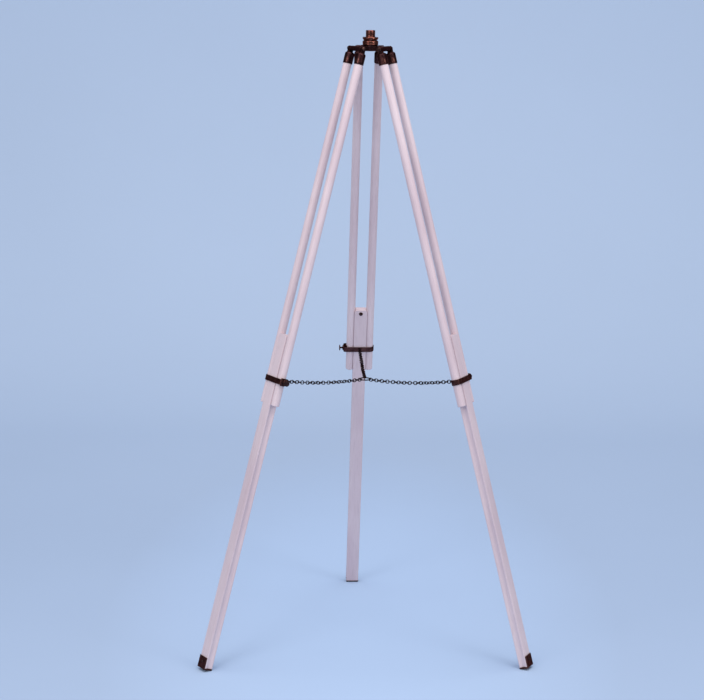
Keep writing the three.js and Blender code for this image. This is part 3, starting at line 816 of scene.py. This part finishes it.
# ---------------------------------------------------------------- lower leg
def slat_outline():
    """Both long edges hollowed to cradle the dowels; points are x, y, corner rounding."""
    radius, corner = 9.9, 0.9
    w, t = SLAT_HALF_W, SLAT_HALF_T
    half_mouth = math.sqrt(radius * radius - (DOWEL_Y - w) ** 2)
    start = math.atan2(half_mouth, w - DOWEL_Y)
    groove = [(x, y, 0.25 if k in (0, 16) else 0)
              for k, (x, y) in enumerate(cradle(radius, start, 2 * math.pi - 2 * start, 16))]
    points = [(t, -w, corner), (t, w, corner)] + groove
    points += [(-t, w, corner), (-t, -w, corner)] + [(-x, -y, r) for x, y, r in groove]
    return fillet(points, steps=3, closed=True)


def slat():
    """Slat with its two top corners cut off at 45 degrees and a bore for each screw."""
    chamfer = 3.5
    half = chamfer / math.sqrt(2)
    wedge = prism(rectangle(12, -half, half + 4), -14, 14, edge=0.02, steps=1)
    steps = []
    for side in (-1, 1):
        middle = offset(0, side * (SLAT_HALF_W - chamfer / 2), SLAT_TOP - chamfer / 2)
        turn = Matrix.Rotation(math.radians(90 - side * 45), 4, "X")
        steps.append(cut(moved(wedge, middle @ turn @ offset(0, half, 0))))
    steps += [
        cut(moved(cylinder(2.5, 2.4, 14, 28), offset(0, 0, STOP_SCREW_Z) @ INWARD)),
        cut(moved(cylinder(2.3, -0.6, 14, 28), offset(0, 0, SHOE_SCREW_Z) @ ALONG_X)),
    ]
    body = prism(slat_outline(), SLAT_END, SLAT_TOP, edge=0.22, steps=2,
                 rows=np.linspace(SLAT_END + 4.75, SLAT_TOP - 5.25, 50))
    return solve("slat", to_mesh("slat_body", body), steps)


def shoe():
    """One bent plate: upright on the outward face, sole under the slat's end."""
    sole, top = SLAT_END - 4.0, SLAT_END + 24.0
    sole_top = SLAT_END - 0.3
    # x, z, corner rounding
    outline = fillet([
        (-9.5, sole, 0.4), (11.8, sole, 2.2), (11.8, top, 0.5),
        (9.8, top, 0.5), (9.8, sole_top, 0.3), (-9.5, sole_top, 0.4),
    ], steps=5, closed=True)
    plate = moved(prism(outline, -15.0, 15.0, edge=0.35, steps=3), Z_TO_MINUS_Y)
    hole = moved(cylinder(2.3, 5, 20, 32), offset(0, 0, SHOE_SCREW_Z) @ ALONG_X)
    return solve("shoe", to_mesh("shoe_plate", plate), [cut(hole)])


# screw profiles: radius, z, corner rounding
STOP_SCREW = [(2.2, 3.0, 0), (2.2, 9.5, 0), (4.45, 9.55, 0.1), (4.5, 10.1, 0.2),
              (3.9, 11.0, 0.5), (2.4, 11.5, 0.6), (0.0, 11.6, 0)]
SHOE_SCREW = [(2.0, 0.5, 0), (2.0, 11.7, 0), (3.85, 11.8, 0.1), (3.9, 12.2, 0.2),
              (3.2, 12.9, 0.4), (1.6, 13.3, 0.4), (0.0, 13.4, 0)]

ferrule_meshes = {-1: ferrule("ferrule_cap_left", -1), 1: ferrule("ferrule_cap_right", 1)}
dowel_mesh, slat_mesh, shoe_mesh = dowel(), slat(), shoe()
band_mesh, eye_mesh, saddle_mesh, thumb_mesh = clamp_band(), chain_eye(), saddle(), thumb_screw()
stop_screw_mesh = slotted("stop_screw", turned(STOP_SCREW, segments=48),
                          width=0.95, depth=0.8, top=11.6)
shoe_screw_mesh = slotted("shoe_screw", turned(SHOE_SCREW, segments=44),
                          width=0.8, depth=0.6, top=13.4)

for n in LEGS:
    leg = azimuth(n) @ offset_mm(HINGE_R, 0, HINGE_Z) @ Matrix.Rotation(-LEG_TILT, 4, "Y")
    upper, lower = f"leg_{n}", f"lower_leg_{n}"
    # each dowel is turned about its axis so that the grain differs
    for tag, side, extra_turn in (("a", -1, 0), ("b", 1, 35)):
        axis = leg @ offset_mm(0, side * DOWEL_Y, 0)
        turn = Matrix.Rotation(math.radians(70 * n + extra_turn), 4, "Z")
        place(f"ferrule_{n}{tag}_cap", ferrule_meshes[side], bronze_turned, axis, upper,
              f"ferrule_{n}{tag}", sharp=None)
        own_dowel = dowel_mesh.copy()
        own_dowel.name = f"dowel_{n}{tag}"
        place(f"dowel_{n}{tag}_wood", own_dowel, dowel_wood[n], axis @ turn, upper,
              f"dowel_{n}{tag}")
    place(f"clamp_band_{n}_strip", band_mesh, bronze_sheet, leg, upper, f"clamp_band_{n}")
    place(f"chain_eye_{n}_wire", eye_mesh, bronze_wire, leg, upper, f"chain_eye_{n}")
    place(f"saddle_{n}", saddle_mesh, bronze_cast, leg, f"clamp_saddle_{n}",
          f"clamp_saddle_{n}")
    place(f"thumb_screw_{n}_knurled", thumb_mesh, screw_metal, leg, f"thumb_screw_{n}",
          f"thumb_screw_{n}", sharp=50)
    own_slat = slat_mesh.copy()
    own_slat.name = f"slat_{n}"
    place(f"slat_{n}_wood", own_slat, slat_wood[n], leg, lower, f"slat_{n}")
    place(f"stop_screw_{n}_head", stop_screw_mesh, screw_metal,
          leg @ offset_mm(0, 0, STOP_SCREW_Z) @ INWARD, lower, f"stop_screw_{n}", sharp=35)
    place(f"shoe_{n}", shoe_mesh, bronze_sheet, leg, lower, f"foot_shoe_{n}")
    place(f"shoe_screw_{n}_head", shoe_screw_mesh, screw_metal,
          leg @ offset_mm(0, 0, SHOE_SCREW_Z) @ ALONG_X, lower, f"shoe_screw_{n}", sharp=35)

# ---------------------------------------------------------------- chains
# chain ends: the clamp's eye, in the tripod's frame, and the ring on the axis
EYE_R = HINGE_R + EYE_X * math.cos(LEG_TILT) - CLAMP_Z * math.sin(LEG_TILT)
EYE_Z = HINGE_Z + EYE_X * math.sin(LEG_TILT) + CLAMP_Z * math.cos(LEG_TILT)
RING_R, RING_Z = 12.6, -786.9
SAG = 6.0
LINKS = 30
FIRST_GAP, LAST_GAP = 5.75, 2.1     # end link centres, along the chain from eye and ring
TWIST = math.radians(38)
JITTER_DEG = 7
rng = np.random.default_rng(7)


def chain_z(radius):
    s = (radius - RING_R) / (EYE_R - RING_R)
    return RING_Z + (EYE_Z - RING_Z) * s - 4 * SAG * s * (1 - s)


ring = moved(torus(RING_R, 1.3, 96, 14), offset(0, 0, RING_Z))
place("gathering_ring", to_mesh("gathering_ring", ring), bronze_wire, IDENTITY, "head",
      "chain_ring", sharp=60)

# length along the hanging curve, from the eye in to the ring
curve_r = np.linspace(EYE_R, RING_R, 4001)
curve_steps = np.hypot(np.diff(curve_r), np.diff(chain_z(curve_r)))
curve_length = np.concatenate([[0], np.cumsum(curve_steps)])
link_centres = np.linspace(FIRST_GAP, curve_length[-1] - LAST_GAP, LINKS)
link = oval_link(length=11.1, width=9.2, wire=2.0, arc_steps=12, sides=10)

for n in LEGS:
    halves = {"outer": [], "inner": []}
    for i, s in enumerate(link_centres):
        r = float(np.interp(s, curve_length, curve_r))
        z = float(chain_z(r))
        drop = float(chain_z(r - 0.5) - chain_z(r + 0.5))
        slope = math.atan2(drop, -1.0)      # direction of the run in the (r, z) plane
        # slow twist along the run, none at the eye and at the ring
        u = i / (LINKS - 1)
        fade = math.sin(math.pi * u)
        lean = (TWIST * fade * math.sin(2 * math.pi * (1.3 * u + 0.21 * n))
                + math.radians(rng.uniform(-JITTER_DEG, JITTER_DEG)) * fade)
        roll = (0.0 if i % 2 == 0 else math.pi / 2) + lean
        pose = (offset(r, 0, z) @ Matrix.Rotation(-slope, 4, "Y")
                @ Matrix.Rotation(roll, 4, "X"))
        half = "outer" if r > (EYE_R + RING_R) / 2 else "inner"
        halves[half].append(moved(link, pose))
    for half, links in halves.items():
        place(f"chain_links_{half}_{n}", to_mesh(f"links_{half}_{n}", joined(*links)),
              bronze_wire, azimuth(n), f"chain_{half}_{n}", f"chain_{half}_{n}",
              sharp=60)


# ---------------------------------------------------------------- studio
def studio_paper():
    """Blue paper with painted light: the floor painted a darker blue than the wall, and a painted
    pool of light at the feet.
    """
    shader = Shader("studio_paper")
    even_map = shader.mapped()
    cloud = shader.noise(even_map, scale=0.9, detail=3.0)
    fibre = shader.noise(even_map, scale=900.0, detail=3.0)
    position = shader.add("ShaderNodeSeparateXYZ", {"Vector": shader.coord.outputs["Object"]})
    x, y = position.outputs[0], position.outputs[1]
    # painted shading: a darker blue on the floor, blending to a lighter blue up the wall
    wall = shader.add("ShaderNodeMapRange", {"From Min": 0.1, "From Max": 3.4, "Value": y},
                      interpolation_type="SMOOTHSTEP").outputs[0]
    tone = shader.mix(wall, (0.372, 0.470, 0.630), (0.530, 0.645, 0.815))

    def squared(distance, reach):
        ratio = shader.math("DIVIDE", distance, reach)
        return shader.math("POWER", shader.math("ABSOLUTE", ratio), 2.0)

    # painted pool of light on the floor round the feet
    across = squared(x, reach=0.62)
    along = squared(shader.math("SUBTRACT", y, 0.25), reach=1.5)
    painted_light_pool = shader.math("SUBTRACT", 1.0, shader.math("ADD", across, along), clamp=True)
    tone = shader.mix(shader.math("MULTIPLY", painted_light_pool, 0.55), tone, (0.455, 0.600, 0.830))
    soft = shader.ramp(cloud, [(0.3, 0.975), (0.7, 1.0)])
    shader.plug(shader.mix(1.0, tone, soft, "MULTIPLY"), "Base Color")
    shader.set("Roughness", 0.95)
    shader.set("Specular IOR Level", 0.1)
    shader.plug(shader.bump(fibre, strength=0.05, distance=0.0002), "Normal")

    # transparent from behind, so that the back of the tripod can be seen too
    facing = shader.add("ShaderNodeNewGeometry")
    clear = shader.add("ShaderNodeBsdfTransparent")
    either = shader.add("ShaderNodeMixShader", {
        0: facing.outputs["Backfacing"], 1: shader.bsdf.outputs[0], 2: clear.outputs[0],
    })
    shader.tree.links.new(either.outputs[0], shader.output.inputs["Surface"])
    return shader.material


def studio_sweep():
    """Floor under the feet, curving up into a wall at the back."""
    floor_z = bounds_cad[0].z
    half_width, front, bend_y, bend_r, wall = 6.0, -5.0, 1.9, 2.0, 5.0
    profile = [(front, floor_z), (bend_y, floor_z)]
    for k in range(1, 25):
        a = math.pi / 2 * k / 24
        profile.append((bend_y + bend_r * math.sin(a), floor_z + bend_r * (1 - math.cos(a))))
    profile.append((bend_y + bend_r, floor_z + wall))
    verts = []
    for y, z in profile:
        verts += [(-half_width, y, z), (half_width, y, z)]
    faces = [(2 * i, 2 * i + 1, 2 * i + 3, 2 * i + 2) for i in range(len(profile) - 1)]
    mesh = to_mesh("studio_sweep", (verts, faces), scale=1.0)
    for polygon in mesh.polygons:
        polygon.use_smooth = True
    mesh.materials.append(studio_paper())
    sweep = add_object("studio_sweep", mesh)
    sweep.rotation_euler = (0, 0, math.radians(-3.1))


def studio_world():
    """Pale surroundings; reflections see a darker room, so that metal shows its form."""
    world = bpy.data.worlds.new("studio")
    bpy.context.scene.world = world
    world.use_nodes = True
    tree = world.node_tree
    room = tree.nodes["Background"]
    room.inputs["Color"].default_value = (0.86, 0.90, 1.0, 1.0)
    room.inputs["Strength"].default_value = 0.55
    dim = add_node(tree, "ShaderNodeBackground", {"Color": (0.80, 0.84, 1.0), "Strength": 0.10})
    path = add_node(tree, "ShaderNodeLightPath")
    blend = add_node(tree, "ShaderNodeMixShader", {
        0: path.outputs["Is Glossy Ray"], 1: room.outputs[0], 2: dim.outputs[0],
    })
    tree.links.new(blend.outputs[0], tree.nodes["World Output"].inputs["Surface"])


def area_light(name, location, target, size, power, colour):
    light = bpy.data.lights.new(name, "AREA")
    light.shape = "RECTANGLE"
    light.size, light.size_y = size
    light.energy = power
    light.color = colour
    obj = add_object(name, light)
    obj.location = location
    direction = Vector(target) - Vector(location)
    obj.rotation_euler = direction.to_track_quat("-Z", "Y").to_euler()


def studio_camera():
    data = bpy.data.cameras.new("camera")
    camera = add_object("camera", data)
    data.sensor_width = 36.0
    data.lens = 101.402
    data.clip_start, data.clip_end = 0.05, 60.0
    right = Vector((0.99859408, -0.05111715, 0.01403221))
    up = Vector((-0.00339152, 0.20256369, 0.97926322))
    forward = Vector((0.05289956, 0.97793404, -0.20210553))
    pose = Matrix((right, up, -forward)).transposed().to_4x4()
    pose.translation = (-0.26958544, -4.41208277, 0.19226676)
    camera.matrix_world = pose
    bpy.context.scene.camera = camera


studio_sweep()
studio_world()
area_light("overhead", location=(0.1, -0.7, 2.3), target=(0.0, 0.1, -1.0),
           size=(3.6, 3.2), power=105.0, colour=(1.0, 0.975, 0.97))
area_light("front_left", location=(-2.4, -3.2, 0.9), target=(0.0, 0.0, -0.6),
           size=(1.8, 1.8), power=34.0, colour=(1.0, 0.96, 0.95))
area_light("front_right", location=(2.6, -2.8, 0.7), target=(0.0, 0.0, -0.6),
           size=(1.6, 1.8), power=22.0, colour=(1.0, 0.97, 0.97))
area_light("front_strip", location=(-0.35, -4.9, 1.3), target=(0.0, 0.0, -0.5),
           size=(0.45, 1.3), power=12.0, colour=(1.0, 0.97, 0.95))
studio_camera()
bpy.context.scene.view_settings.view_transform = "Standard"
